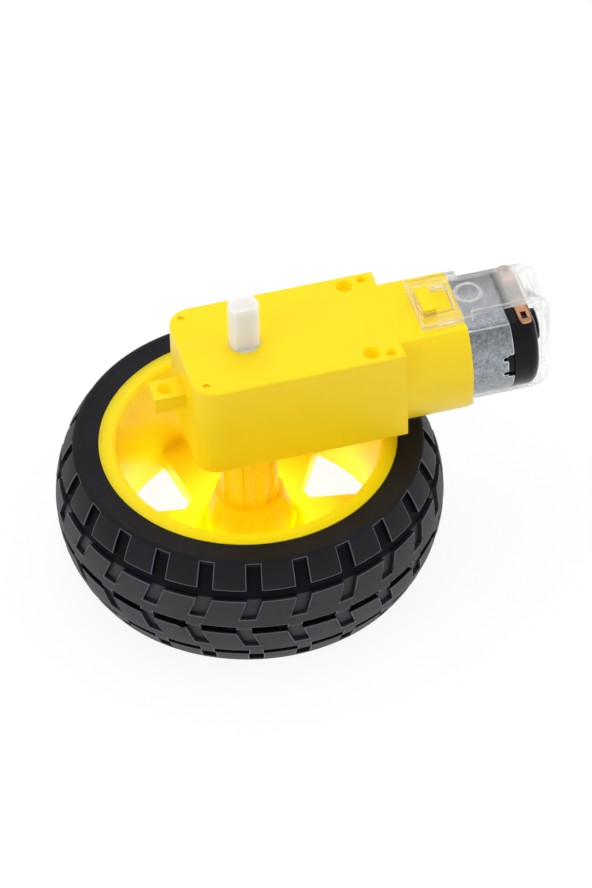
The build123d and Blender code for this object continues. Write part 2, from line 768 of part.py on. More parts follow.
for name, side in sides.items():
    with BuildPart() as magnet:
        with BuildSketch(across(magnet_front)):
            with BuildLine():
                start = 90 - side * 90 - magnet_half_angle
                outer_arc = CenterArc((0, 0), magnet_outer_radius, start, 2 * magnet_half_angle)
                inner_arc = CenterArc((0, 0), magnet_inner_radius, start, 2 * magnet_half_angle)
                Line(outer_arc @ 0, inner_arc @ 0)
                Line(outer_arc @ 1, inner_arc @ 1)
            make_face()
        extrude(amount=magnet_length)
    save(magnet, f"magnet_{name}")

spring_level = -can_half_height + can_wall + seat_clearance
with BuildPart() as magnet_spring:
    with BuildSketch(across(magnet_front + (magnet_length - spring_length) / 2)):
        with Locations((0, spring_level)):
            Rectangle(2 * spring_half_width, spring_thickness, align=(Align.CENTER, Align.MIN))
        for side in sides.values():
            with Locations((side * (spring_half_width - spring_thickness / 2), spring_level)):
                Rectangle(spring_thickness, spring_leg, align=(Align.CENTER, Align.MIN))
    extrude(amount=spring_length)
save(magnet_spring, "magnet_spring")

for name, side in sides.items():
    with BuildPart() as terminal:
        with BuildSketch(level(can_half_height + seat_clearance)) as blade:
            with Locations((terminal_front, side * terminal_leg_y)):
                Rectangle(terminal_width, terminal_reach - terminal_leg_y,
                          align=(Align.MIN, Align.MIN if side > 0 else Align.MAX))
            fillet(blade.vertices().group_by(Axis.Y)[-1 if side > 0 else 0], terminal_corner)
            with Locations((terminal_front + terminal_width / 2,
                            side * (terminal_reach - terminal_hole_inset))):
                Rectangle(terminal_hole_width, terminal_hole_length, mode=Mode.SUBTRACT)
        extrude(amount=terminal_thickness)
        with BuildSketch(level(can_half_height + seat_clearance)):
            with Locations((terminal_front, side * terminal_leg_y)):
                Rectangle(cap_pocket_rear - seat_clearance - terminal_front, terminal_thickness,
                          align=(Align.MIN, Align.MIN if side > 0 else Align.MAX))
        extrude(amount=cap_pocket_half_height - brush_arm_height - can_half_height)
    save(terminal, f"terminal_{name}")

    with BuildPart() as brush:
        with BuildSketch(Plane.XZ.offset(-side * brush_y)):
            with Locations((brush_front, axis_height - brush_tail)):
                Rectangle(brush_width, cap_pocket_half_height - seat_clearance + brush_tail,
                          align=(Align.MIN, Align.MIN))
            with Locations((brush_front, axis_height + cap_pocket_half_height - seat_clearance)):
                Rectangle(cap_pocket_rear - seat_clearance - brush_front, brush_arm_height,
                          align=(Align.MIN, Align.MAX))
        extrude(amount=-side * brush_thickness)
    save(brush, f"brush_{name}")

# ---------------------------------------------------------------- motor: what turns
with BuildPart() as motor_shaft:
    rod(motor_pinion_front, rear_bearing_front + rear_bearing_length - motor_pinion_front,
        motor_shaft_radius)
save(motor_shaft, "motor_shaft")

with BuildPart() as armature_core:
    with BuildSketch(across(core_front)):
        Circle(rotor_radius)
        Circle(rotor_radius - pole_tip_thickness, mode=Mode.SUBTRACT)
        with PolarLocations(rotor_radius, pole_count, start_angle=180 / pole_count):
            Rectangle(pole_gap_cutter, pole_tip_gap, mode=Mode.SUBTRACT)
        with PolarLocations(rotor_radius / 2, pole_count):
            Rectangle(rotor_radius - pole_tip_thickness, pole_width)
        Circle(rotor_hub_radius)
        Circle(motor_shaft_radius + press_clearance, mode=Mode.SUBTRACT)
    extrude(amount=core_length)
save(armature_core, "armature_core")

coil_depth = coil_outer_radius - coil_inner_radius
coil_radius = (coil_outer_radius + coil_inner_radius) / 2
with BuildPart() as armature_windings:
    with BuildSketch(across(core_front - coil_thickness)):
        with PolarLocations(coil_radius, pole_count):
            Rectangle(coil_depth, pole_width + 2 * coil_thickness)
    extrude(amount=core_length + 2 * coil_thickness)
    with BuildSketch(across(core_front - coil_gap)):
        with PolarLocations(coil_radius, pole_count):
            Rectangle(2 * coil_depth, pole_width + 2 * coil_gap)
    extrude(amount=core_length + 2 * coil_gap, mode=Mode.SUBTRACT)
save(armature_windings, "armature_windings")

with BuildPart() as commutator_hub:
    rod(commutator_front, commutator_length, commutator_hub_radius)
    rod(commutator_front, commutator_length, motor_shaft_radius + press_clearance, Mode.SUBTRACT)
save(commutator_hub, "commutator_hub")

with BuildPart() as commutator_segments:
    with BuildSketch(across(commutator_front + segment_inset)):
        Circle(commutator_radius)
        Circle(commutator_hub_radius + press_clearance, mode=Mode.SUBTRACT)
        with PolarLocations(commutator_radius, pole_count):
            Rectangle(2 * (commutator_radius - commutator_hub_radius) + commutator_gap,
                      commutator_gap, mode=Mode.SUBTRACT)
    extrude(amount=commutator_length - segment_inset)
save(commutator_segments, "commutator_segments")

spacer_spans = [
    (front_bearing_rear + end_play, core_front - press_clearance),
    (core_rear + press_clearance, commutator_front - press_clearance),
]
with BuildPart() as shaft_spacers:
    for spacer_start, spacer_end in spacer_spans:
        rod(spacer_start, spacer_end - spacer_start, spacer_radius)
    rod(motor_front, can_length, motor_shaft_radius + press_clearance, Mode.SUBTRACT)
save(shaft_spacers, "shaft_spacers")
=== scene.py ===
"""Looks of the right-angle geared motor and its wheel, laid out as a Blender add-on.

Pieces are drawn in millimetres and brought to metres when they are finished.
"""

import json
from math import atan2, cos, degrees, hypot, pi, radians, sin, sqrt

import bpy
from bpy.props import FloatProperty, FloatVectorProperty, IntProperty, PointerProperty
from mathutils import Matrix, Vector

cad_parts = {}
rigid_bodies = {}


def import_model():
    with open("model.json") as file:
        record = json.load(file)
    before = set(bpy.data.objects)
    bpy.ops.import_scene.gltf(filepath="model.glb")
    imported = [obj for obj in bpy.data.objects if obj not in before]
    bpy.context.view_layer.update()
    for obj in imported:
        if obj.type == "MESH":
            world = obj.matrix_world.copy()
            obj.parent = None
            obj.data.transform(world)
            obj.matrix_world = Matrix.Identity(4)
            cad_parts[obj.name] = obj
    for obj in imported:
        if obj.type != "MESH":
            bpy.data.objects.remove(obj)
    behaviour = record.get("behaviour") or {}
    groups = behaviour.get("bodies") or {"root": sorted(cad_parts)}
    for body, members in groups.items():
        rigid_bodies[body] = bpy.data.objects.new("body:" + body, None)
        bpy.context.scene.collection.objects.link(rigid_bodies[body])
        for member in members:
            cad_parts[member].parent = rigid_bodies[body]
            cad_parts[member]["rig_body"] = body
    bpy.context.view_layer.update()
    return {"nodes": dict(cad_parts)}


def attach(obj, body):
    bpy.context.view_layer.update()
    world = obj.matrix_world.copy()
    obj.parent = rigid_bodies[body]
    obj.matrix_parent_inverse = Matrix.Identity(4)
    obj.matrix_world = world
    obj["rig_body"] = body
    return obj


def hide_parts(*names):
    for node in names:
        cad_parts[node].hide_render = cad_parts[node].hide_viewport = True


bl_info = {
    "name": "Geared Motor Looks",
    "version": (1, 0, 0),
    "blender": (4, 5, 0),
    "location": "View3D > Sidebar > Geared Motor",
    "description": "Dresses the geared motor and wheel with moulded, rolled and plated finishes",
    "category": "Object",
}

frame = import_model()

MILLIMETRE = 0.001
# In mm: vertices closer than this are welded, and vertices this near a cut are taken as on it
WELD = 0.001
CUT_TOLERANCE = 0.0001
# In degrees: edges sharper than these are rounded, and flatter ones are dissolved
SHARP_ANGLE = 32
SHARP_TREAD_ANGLE = 38
FLAT_ANGLE = 0.5
# Share of the rounding that the edges at the case's seam get, and how far in mm their two ends may be
# from it together
SEAM_SHARE = 0.2
SEAM_REACH = 0.1
# Ends of the strap, in metres
STRAP_START = 0.030
STRAP_END = 0.056
# Holes in the case, whose walls get a painted glow: x, y and radius in mm, and the heights of their walls
CASE_HOLES = [(20.2, 8.75, 1.6), (20.2, -8.75, 1.6), (23.5, 9.6, 1.3), (23.5, -9.6, 1.3),
              (-9.0, 8.8, 1.1), (-9.0, -8.8, 1.1), (-14.2, 0.0, 1.6)]
HOLES_FROM = 28.3
HOLES_TO = 46.7
# Height in mm that the wheel's web and spokes stay under
WEB_TOP = 8.0
# Upright part of the normal: below this on the wall of a hole, above this on the wheel's web
WALL_TILT = 0.7
WEB_TILT = 0.6


# ---------------------------------------------------------------- sizes and colours
class GearmotorTyreSizes(bpy.types.PropertyGroup):
    radius: FloatProperty(name="Radius", description="Radius over the tread, in mm", default=34.0)
    width: FloatProperty(name="Width", description="Width of the tyre, in mm", default=24.0)
    shoulder: FloatProperty(name="Shoulder radius", default=30.4,
                            description="Radius where the tread meets the side face, in mm")
    bore: FloatProperty(name="Bore radius", description="Radius of the seat on the rim, in mm", default=26.0)
    blocks: IntProperty(name="Blocks", description="Tread blocks in each row", default=24)
    groove: FloatProperty(name="Groove depth", default=0.85,
                          description="Depth of the pockets between blocks, in mm")
    slot: FloatProperty(name="Slot depth", default=1.7,
                        description="Depth of the dark slots round the tread, in mm")
    edge: FloatProperty(name="Edge", description="Rounding of the block edges, in mm", default=0.2)


class GearmotorEdgeSizes(bpy.types.PropertyGroup):
    case: FloatProperty(name="Case edges", default=0.18,
                        description="Rounding of the case's small edges, in mm")
    seam_height: FloatProperty(name="Seam height", default=37.5,
                               description="Height where the case halves meet, in mm")
    wheel: FloatProperty(name="Wheel edges", description="Rounding of the wheel's edges, in mm", default=0.3)
    strap: FloatProperty(name="Strap edges", description="Rounding of the strap's edges, in mm", default=0.18)
    metal: FloatProperty(name="Metal edges", description="Rounding of the can's edges, in mm", default=0.2)
    shaft: FloatProperty(name="Shaft edges", description="Rounding of the shaft's edges, in mm", default=0.25)


def colour_property(name, description, default):
    return FloatVectorProperty(name=name, description=description, subtype="COLOR", size=3,
                               min=0.0, max=1.0, default=default)


class GearmotorColours(bpy.types.PropertyGroup):
    yellow: colour_property("Yellow plastic", "Gear case", (0.95, 0.68, 0.004))
    wheel: colour_property("Wheel plastic", "Wheel", (0.97, 0.70, 0.004))
    rubber: colour_property("Rubber", "Tyre", (0.006, 0.006, 0.0095))
    nylon: colour_property("White nylon", "Shafts and gears", (0.54, 0.535, 0.515))
    clear: colour_property("Clear plastic", "Strap", (0.97, 0.965, 0.94))
    zinc: colour_property("Plated steel", "Motor can", (0.28, 0.295, 0.32))
    black: colour_property("Black plastic", "Motor end cap", (0.005, 0.005, 0.006))
    copper: colour_property("Copper", "Terminals", (0.72, 0.36, 0.20))
    floor: colour_property("Floor", "Floor and backdrop", (0.93, 0.93, 0.93))


class GearmotorStageSizes(bpy.types.PropertyGroup):
    camera_azimuth: FloatProperty(name="Camera azimuth", description="Turn of the view about the upright",
                                  subtype="ANGLE", default=radians(-14.11))
    camera_elevation: FloatProperty(name="Camera elevation", description="Height of the view above the floor",
                                    subtype="ANGLE", default=radians(44.28))
    camera_roll: FloatProperty(name="Camera roll", description="Turn of the picture",
                               subtype="ANGLE", default=radians(-1.66))
    camera_distance: FloatProperty(name="Camera distance", description="From the camera to its target",
                                   unit="LENGTH", default=1.0646)
    camera_target: FloatVectorProperty(name="Camera target", description="Point in the middle of the picture",
                                       subtype="TRANSLATION", size=3, default=(0.00863, 0.00015, 0.020))
    lens: FloatProperty(name="Lens", description="Focal length, in mm, for a 36 mm long side", default=247.2)


# ---------------------------------------------------------------- ways of modelling
def deselect():
    if bpy.context.object and bpy.context.object.mode != "OBJECT":
        bpy.ops.object.mode_set(mode="OBJECT")
    bpy.ops.object.select_all(action="DESELECT")


def only(piece):
    """Make a piece the only one that is selected, and the active one."""
    deselect()
    piece.select_set(True)
    bpy.context.view_layer.objects.active = piece


def pick_faces(piece, test):
    """Select the faces whose centre passes a test, ready for edit mode."""
    mesh = piece.data
    mesh.vertices.foreach_set("select", [False] * len(mesh.vertices))
    mesh.edges.foreach_set("select", [False] * len(mesh.edges))
    mesh.polygons.foreach_set("select", [bool(test(face.center)) for face in mesh.polygons])


def edit(piece, kind="FACE"):
    only(piece)
    bpy.ops.object.mode_set(mode="EDIT")
    bpy.ops.mesh.select_mode(type=kind)


def end_edit():
    bpy.ops.object.mode_set(mode="OBJECT")


def trace(name, points):
    """Draw a closed outline by extruding one point from place to place."""
    deselect()
    bpy.ops.mesh.primitive_plane_add(size=1.0, location=points[0])
    piece = bpy.context.object
    piece.name = name
    bpy.ops.object.transform_apply(location=True, rotation=False, scale=False)
    bpy.ops.object.mode_set(mode="EDIT")
    bpy.ops.mesh.select_mode(type="VERT")
    bpy.ops.mesh.select_all(action="SELECT")
    bpy.ops.mesh.merge(type="CENTER")
    for last, point in zip(points, points[1:]):
        step = Vector(point) - Vector(last)
        bpy.ops.mesh.extrude_region_move(TRANSFORM_OT_translate={"value": step})
    bpy.ops.mesh.select_all(action="SELECT")
    bpy.ops.mesh.edge_face_add()
    bpy.ops.mesh.delete(type="ONLY_FACE")
    end_edit()
    return piece


def bisect(piece, place, normal, test):
    """Score a straight line across the faces that pass the test."""
    pick_faces(piece, test)
    edit(piece)
    bpy.ops.mesh.bisect(plane_co=place, plane_no=normal, threshold=CUT_TOLERANCE)
    end_edit()


def sink(piece, depth, test):
    """Press the faces that pass the test inwards."""
    pick_faces(piece, test)
    edit(piece)
    bpy.ops.mesh.extrude_region_shrink_fatten(TRANSFORM_OT_shrink_fatten={"value": -depth})
    end_edit()


def clean(piece):
    """Weld the vertices that meet and turn all faces outwards."""
    edit(piece, "VERT")
    bpy.ops.mesh.select_all(action="SELECT")
    bpy.ops.mesh.remove_doubles(threshold=WELD)
    bpy.ops.mesh.normals_make_consistent(inside=False)
    end_edit()


def ring_of(piece, count):
    """Copy a sector round the upright, join the copies and weld them."""
    deselect()
    copies = [piece]
    for index in range(1, count):
        copy = piece.copy()
        copy.data = piece.data.copy()
        copy.data.transform(Matrix.Rotation(2 * pi * index / count, 4, "Z"))
        bpy.context.collection.objects.link(copy)
        copies.append(copy)
    for each in copies:
        each.select_set(True)
    bpy.context.view_layer.objects.active = piece
    bpy.ops.object.join()
    clean(piece)


def round_edges(piece, width, angle, share, slot, clamp=True):
    """Round the sharp edges of a piece, by the share that each edge gets, and smooth its faces."""
    edit(piece, "EDGE")
    bpy.ops.mesh.select_all(action="DESELECT")
    bpy.ops.mesh.edges_select_sharp(sharpness=radians(angle))
    end_edit()
    mesh = piece.data
    weights = mesh.attributes.new("bevel_weight_edge", "FLOAT", "EDGE")
    for edge, weight in zip(mesh.edges, weights.data):
        if edge.select:
            weight.value = share(*(mesh.vertices[v].co for v in edge.vertices))
    bevel = piece.modifiers.new("Rounded edges", "BEVEL")
    bevel.width = width
    bevel.segments = 2
    bevel.material = slot
    bevel.limit_method = "WEIGHT"
    bevel.use_clamp_overlap = clamp
    bevel.miter_outer = "MITER_ARC"
    bpy.ops.object.modifier_apply(modifier=bevel.name)
    bpy.ops.object.shade_smooth_by_angle(angle=radians(angle))
    even = piece.modifiers.new("Even shading", "WEIGHTED_NORMAL")
    even.keep_sharp = True
    bpy.ops.object.modifier_apply(modifier=even.name)


def wear(piece, *finishes):
    piece.data.materials.clear()
    for finish in finishes:
        piece.data.materials.append(FINISHES[finish])


def fix_piece(piece, body, slot, *nodes):
    """Bring a piece from millimetres to metres and fix it to its body."""
    only(piece)
    piece.data.transform(Matrix.Scale(MILLIMETRE, 4))
    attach(piece, body)
    if nodes:
        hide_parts(*nodes)


def in_hole(face, corners):
    """Whether a face is on the wall of one of the case's holes, which get a painted glow."""
    if abs(face.normal.z) >= WALL_TILT or not HOLES_FROM < face.center.z < HOLES_TO:
        return False
    return any(all(hypot(corner.x - x, corner.y - y) < radius for corner in corners)
               for x, y, radius in CASE_HOLES)


def on_web(face, corners):
    """Whether a face is on the upper side of the wheel's web or spokes."""
    return face.normal.z > WEB_TILT and max(corner.z for corner in corners) < WEB_TOP


def softened(node, name, width, slot, finish, edge_finish=None, seam=None, patch_finish=None, in_patch=None):
    """Stand-in for a CAD node with the same shape and rounded edges.

    The edges and the faces that pass the in_patch test may have finishes of their own. The edges at the
    height of the seam are hardly rounded.
    """
    source = frame["nodes"][node]
    body = source["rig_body"]
    piece = bpy.data.objects.new(name, source.data.copy())
    bpy.context.collection.objects.link(piece)
    wear(piece, finish, edge_finish or finish, patch_finish or finish)
    piece.data.transform(Matrix.Scale(1 / MILLIMETRE, 4))
    clean(piece)
    edit(piece)
    bpy.ops.mesh.select_all(action="SELECT")
    bpy.ops.mesh.dissolve_limited(angle_limit=radians(FLAT_ANGLE))
    end_edit()

    def share(a, b):
        at_seam = seam is not None and abs(a.z - seam) + abs(b.z - seam) < SEAM_REACH
        return SEAM_SHARE if at_seam else 1.0

    edge_index, patch_index = 1, 2
    round_edges(piece, width, SHARP_ANGLE, share, edge_index, clamp=edge_finish is None)
    if in_patch:
        for face in piece.data.polygons:
            if in_patch(face, [piece.data.vertices[v].co for v in face.vertices]):
                face.material_index = patch_index
    fix_piece(piece, body, slot, node)


# ---------------------------------------------------------------- finishes
def base_material(name, colour, roughness, metallic=0.0):
    """Plain finish with its main nodes: (material, nodes, links, shader, coordinates)."""
    material = bpy.data.materials.new(name)
    material.use_nodes = True
    nodes, links = material.node_tree.nodes, material.node_tree.links
    shader = nodes["Principled BSDF"]
    shader.inputs["Base Color"].default_value = (*colour, 1)
    shader.inputs["Roughness"].default_value = roughness
    shader.inputs["Metallic"].default_value = metallic
    place = nodes.new("ShaderNodeTexCoord")
    return material, nodes, links, shader, place.outputs["Object"]


def noise(nodes, links, vector, scale, detail=3.0, roughness=0.55):
    texture = nodes.new("ShaderNodeTexNoise")
    texture.inputs["Scale"].default_value = scale
    texture.inputs["Detail"].default_value = detail
    texture.inputs["Roughness"].default_value = roughness
    links.new(vector, texture.inputs["Vector"])
    return texture.outputs["Fac"]


def ramp(nodes, links, source, stops):
    """Colour ramp with (position, colour) stops; a number stands for a grey."""
    made = nodes.new("ShaderNodeValToRGB")
    elements = made.color_ramp.elements
    while len(elements) < len(stops):
        elements.new(0.5)
    for element, (position, colour) in zip(elements, stops):
        element.position = position
        element.color = (*colour, 1) if hasattr(colour, "__len__") else (colour, colour, colour, 1)
    links.new(source, made.inputs["Fac"])
    return made.outputs["Color"]


def spread(nodes, links, source, low, high):
    """Bring a 0 to 1 value to a range."""
    made = nodes.new("ShaderNodeMapRange")
    made.inputs["To Min"].default_value = low
    made.inputs["To Max"].default_value = high
    links.new(source, made.inputs["Value"])
    return made.outputs["Result"]


def bump(nodes, links, source, strength, distance):
    made = nodes.new("ShaderNodeBump")
    made.inputs["Strength"].default_value = strength
    made.inputs["Distance"].default_value = distance
    links.new(source, made.inputs["Height"])
    return made.outputs["Normal"]


def shade(colour, factor):
    return tuple(min(1.0, value * factor) for value in colour)


def moulded(name, colour, roughness, mottle, grain, soft=0.0, soft_radius=(1.0, 0.6, 0.1),
            soft_scale=0.002, gloss=0.5, glow=0.0):
    """Moulded plastic or nylon: faint flow mottling, fine grain and a little light let through; glow is a
    painted glow, emission in the plastic's own colour.
    """
    material, nodes, links, shader, place = base_material(name, colour, roughness)
    flow = noise(nodes, links, place, 120.0, 4.0)
    tones = [(0.3, shade(colour, 1 - mottle)), (0.7, shade(colour, 1 + mottle / 2))]
    links.new(ramp(nodes, links, flow, tones), shader.inputs["Base Color"])
    patches = noise(nodes, links, place, 300.0, 3.0)
    links.new(spread(nodes, links, patches, roughness - 0.07, roughness + 0.07), shader.inputs["Roughness"])
    skin = noise(nodes, links, place, 5200.0, 2.0)
    links.new(bump(nodes, links, skin, grain, 0.00004), shader.inputs["Normal"])
    shader.inputs["Specular IOR Level"].default_value = gloss
    shader.inputs["Subsurface Weight"].default_value = soft
    shader.inputs["Subsurface Radius"].default_value = soft_radius
    shader.inputs["Subsurface Scale"].default_value = soft_scale
    # Painted glow: emission that brightens the piece though it is no lamp
    shader.inputs["Emission Color"].default_value = (*colour, 1)
    shader.inputs["Emission Strength"].default_value = glow
    return material


def rubber_finish(name, colour, roughness, gloss):
    """Black rubber: dusty bloom in patches, fine pitted grain."""
    material, nodes, links, shader, place = base_material(name, colour, roughness)
    bloom = noise(nodes, links, place, 90.0, 5.0, 0.6)
    tones = [(0.35, colour), (0.75, shade(colour, 1.9))]
    links.new(ramp(nodes, links, bloom, tones), shader.inputs["Base Color"])
    wiped = noise(nodes, links, place, 260.0, 4.0)
    links.new(spread(nodes, links, wiped, roughness - 0.08, roughness + 0.1), shader.inputs["Roughness"])
    grain = noise(nodes, links, place, 3800.0, 3.0)
    links.new(bump(nodes, links, grain, 0.25, 0.00006), shader.inputs["Normal"])
    shader.inputs["Specular IOR Level"].default_value = gloss
    return material


def along_part(nodes, links, place, stops):
    """Value that changes along the motor, from (place in metres, value) stops."""
    axes = nodes.new("ShaderNodeSeparateXYZ")
    links.new(place, axes.inputs["Vector"])
    reach = nodes.new("ShaderNodeMapRange")
    reach.inputs["From Min"].default_value = STRAP_START
    reach.inputs["From Max"].default_value = STRAP_END
    links.new(axes.outputs["X"], reach.inputs["Value"])
    length = STRAP_END - STRAP_START
    return ramp(nodes, links, reach.outputs["Result"],
                [((x - STRAP_START) / length, value) for x, value in stops])


def clear_finish(name, colour, clarity, cover):
    """Clear moulded plastic with faint flow waves: cover changes along the motor, and clarity may."""
    material, nodes, links, shader, place = base_material(name, colour, 0.03)
    shader.inputs["IOR"].default_value = 1.45
    if isinstance(clarity, float):
        shader.inputs["Transmission Weight"].default_value = clarity
    else:
        links.new(along_part(nodes, links, place, clarity), shader.inputs["Transmission Weight"])
    links.new(along_part(nodes, links, place, cover), shader.inputs["Alpha"])
    haze = noise(nodes, links, place, 420.0, 3.0)
    links.new(spread(nodes, links, haze, 0.01, 0.06), shader.inputs["Roughness"])
    waves = noise(nodes, links, place, 210.0, 2.0)
    links.new(bump(nodes, links, waves, 0.03, 0.0002), shader.inputs["Normal"])
    return material


def plated_finish(name, colour, roughness, speckle):
    """Zinc-plated steel: crystalline speckle in tone and gloss."""
    material, nodes, links, shader, place = base_material(name, colour, roughness, 1.0)
    crystals = nodes.new("ShaderNodeTexVoronoi")
    crystals.inputs["Scale"].default_value = 2600.0
    links.new(place, crystals.inputs["Vector"])
    tone = nodes.new("ShaderNodeRGBToBW")
    links.new(crystals.outputs["Color"], tone.inputs["Color"])
    cloud = noise(nodes, links, place, 900.0, 6.0, 0.7)
    faint = nodes.new("ShaderNodeMath")
    faint.operation = "MULTIPLY"
    faint.inputs[1].default_value = 0.35 * speckle
    links.new(tone.outputs["Val"], faint.inputs[0])
    blend = nodes.new("ShaderNodeMath")
    blend.operation = "ADD"
    links.new(faint.outputs["Value"], blend.inputs[0])
    links.new(cloud, blend.inputs[1])
    mixed = blend.outputs["Value"]
    tones = [(0.35, shade(colour, 0.55)), (0.95, shade(colour, 1.55))]
    links.new(ramp(nodes, links, mixed, tones), shader.inputs["Base Color"])
    links.new(spread(nodes, links, mixed, roughness - 0.1, roughness + 0.1), shader.inputs["Roughness"])
    links.new(bump(nodes, links, mixed, 0.25, 0.00004), shader.inputs["Normal"])
    return material


def turned_finish(name, colour, roughness):
    """Drawn or turned metal and pressed parts: fine uneven polish."""
    material, nodes, links, shader, place = base_material(name, colour, roughness, 1.0)
    tarnish = noise(nodes, links, place, 700.0, 4.0)
    tones = [(0.3, shade(colour, 0.8)), (0.7, shade(colour, 1.12))]
    links.new(ramp(nodes, links, tarnish, tones), shader.inputs["Base Color"])
    links.new(spread(nodes, links, tarnish, roughness - 0.08, roughness + 0.1), shader.inputs["Roughness"])
    scratches = noise(nodes, links, place, 4200.0, 3.0)
    links.new(bump(nodes, links, scratches, 0.2, 0.00003), shader.inputs["Normal"])
    return material


# How far red, green and blue travel in the yellow plastic, against each other
YELLOW_BLEED = (1.0, 1.0, 0.1)
# Stops along the motor in the clear strap, place in metres and value: its rear bend is the clearest
STRAP_CLARITY = [(0.0450, 1.0), (0.0465, 0.6), (0.0490, 0.6), (0.0502, 1.0)]
STRAP_COVER = [(0.0496, 0.5), (0.0510, 0.2)]
STRAP_EDGE_COVER = [(0.0496, 0.48), (0.0510, 0.3)]
FINISHES = {}
NODE_FINISHES = {
    "wheel_rim": "wheel yellow", "case_upper": "yellow", "case_lower": "yellow", "tyre": "rubber",
    "case_screws": "screw", "retaining_strap": "clear", "output_shaft": "nylon", "output_gear": "nylon",
    "middle_gear": "nylon", "crown_gear": "nylon", "middle_pin": "steel", "crown_pin": "steel",
    "motor_pinion": "nylon", "motor_can": "zinc", "motor_end_cap": "black", "front_bearing": "bronze",
    "rear_bearing": "bronze", "magnet_left": "ferrite", "magnet_right": "ferrite", "magnet_spring": "steel",
    "terminal_left": "copper", "terminal_right": "copper", "brush_left": "bronze", "brush_right": "bronze",
    "motor_shaft": "steel", "armature_core": "lamination", "armature_windings": "enamel",
    "commutator_hub": "phenolic", "commutator_segments": "copper", "shaft_spacers": "black",
}


class GEARMOTOR_OT_finishes(bpy.types.Operator):
    """Make every finish and give each part of the frame its own"""
    bl_idname = "gearmotor.finishes"
    bl_label = "Finishes"

    def execute(self, context):
        colours = context.scene.gearmotor_colours
        yellow = {"mottle": 0.02, "grain": 0.08, "soft_radius": YELLOW_BLEED, "gloss": 0.35}
        FINISHES.update({
            "yellow": moulded("Yellow plastic", colours.yellow, 0.36, soft=0.4, soft_scale=0.0004, **yellow),
            "wheel yellow": moulded("Wheel plastic", colours.wheel, 0.36, soft=0.7, soft_scale=0.007,
                                    **yellow),
            "web yellow": moulded("Wheel web plastic", colours.wheel, 0.36, soft=0.25, soft_scale=0.007,
                                  **yellow),
            # Hole walls: a painted glow, emission that makes the walls look lit through
            "painted glow yellow": moulded("Yellow plastic with painted glow", (0.95, 0.66, 0.004), 0.36, soft=0.4, soft_scale=0.001,
                                  glow=0.27, **yellow),
            # The nylon has a painted glow, emission that brightens the shaft; its colour is set darker to
            # make up for it
            "nylon": moulded("White nylon", colours.nylon, 0.32, 0.02, 0.08, soft=0.9,
                             soft_radius=(1.0, 0.95, 0.85), soft_scale=0.006, glow=0.33),
            "black": moulded("Black plastic", colours.black, 0.12, 0.2, 0.06, gloss=0.16),
            "phenolic": moulded("Phenolic", (0.10, 0.04, 0.02), 0.45, 0.2, 0.2),
            "ferrite": moulded("Ferrite", (0.03, 0.03, 0.033), 0.6, 0.25, 0.4),
            "enamel": moulded("Enamelled wire", (0.42, 0.12, 0.03), 0.28, 0.2, 0.5),
            "rubber": rubber_finish("Tread rubber", colours.rubber, 0.58, 0.6),
            # Side faces and shoulder row: darker, less glossy rubber, painted shade on the upper side of the
            # tread
            "side wall": rubber_finish("Side wall rubber with painted shade", shade(colours.rubber, 0.7), 0.5, 0.22),
            # Block edges: lighter, glossier rubber; the lighter colour is a painted highlight along the
            # edges, the gloss catches real highlights
            "edge highlight rubber": rubber_finish("Rubber edges with painted highlight", shade(colours.rubber, 5.5), 0.34, 0.9),
            # Sunken faces: darker, duller rubber, painted shade in the pockets and slots
            "pocket": rubber_finish("Pocket rubber with painted shade", shade(colours.rubber, 0.5), 0.6, 0.08),
            "clear": clear_finish("Clear plastic", colours.clear, STRAP_CLARITY, STRAP_COVER),
            # Strap edges: less clear, whiter plastic, a painted highlight along the edges
            "clear edge": clear_finish("Clear plastic edges with painted highlight", colours.clear, 0.35, STRAP_EDGE_COVER),
            "zinc": plated_finish("Plated steel", colours.zinc, 0.3, 1.0),
            # Can edges: brighter plated colour, a painted highlight along the edges and crease
            "edge highlight zinc": turned_finish("Plated edges with painted highlight", shade(colours.zinc, 2.6), 0.24),
            "screw": plated_finish("Plated screws", (0.45, 0.43, 0.38), 0.36, 0.5),
            "copper": turned_finish("Copper", colours.copper, 0.34),
            "bronze": turned_finish("Bronze", (0.45, 0.27, 0.12), 0.42),
            "steel": turned_finish("Bright steel", (0.58, 0.58, 0.58), 0.24),
            "lamination": turned_finish("Laminated steel", (0.30, 0.30, 0.31), 0.45),
        })
        for node, finish in NODE_FINISHES.items():
            mesh = frame["nodes"][node].data
            mesh.materials.clear()
            mesh.materials.append(FINISHES[finish])
        return {"FINISHED"}


# ---------------------------------------------------------------- tyre
# Steps of the crown's curve and of one sector's turn
CROWN_STEPS = 16
SECTOR_STEPS = 6
# Side faces in mm: rounding at the shoulder, and the low step beside it, whose ends are inside the shoulder
LIP = 0.35
STEP = 0.15
STEP_START = 1.3
STEP_END = 0.9
# In mm: how far inside the shoulder a face still counts as tread, how far under the crown's curve a
# corner still counts as on it, how far from the side faces the levels are scored, and how far over the
# upper row the side faces' darker rubber, painted shade, starts
TREAD_MARGIN = 0.2
CROWN_MARGIN = 0.1
SIDE_MARGIN = 0.05
ROW_MARGIN = 0.5
# Material slots of the tyre after its tread rubber
SHADED_SIDE, HIGHLIGHT_EDGES, SHADED_POCKET = 1, 2, 3
# Rows of the tread from the top: heights in mm, angles in degrees inside one sector
SECTOR = 15.0
BLOCK_START = 4.0
BLOCK = 10.5
LEAN = -3.3
SHOULDER_ROW = (19.2, 23.6)
UPPER_ROW = (13.5, 17.3)
UPPER_FOOT = 11.6
SLOT_FLOOR = 10.0
MOULD_LINE = 11.0
LOWER_ROW = (6.3, 11.0)
LOWER_SLOT = (3.2, 4.65)
BASE_ROW = (0.4, 3.2)


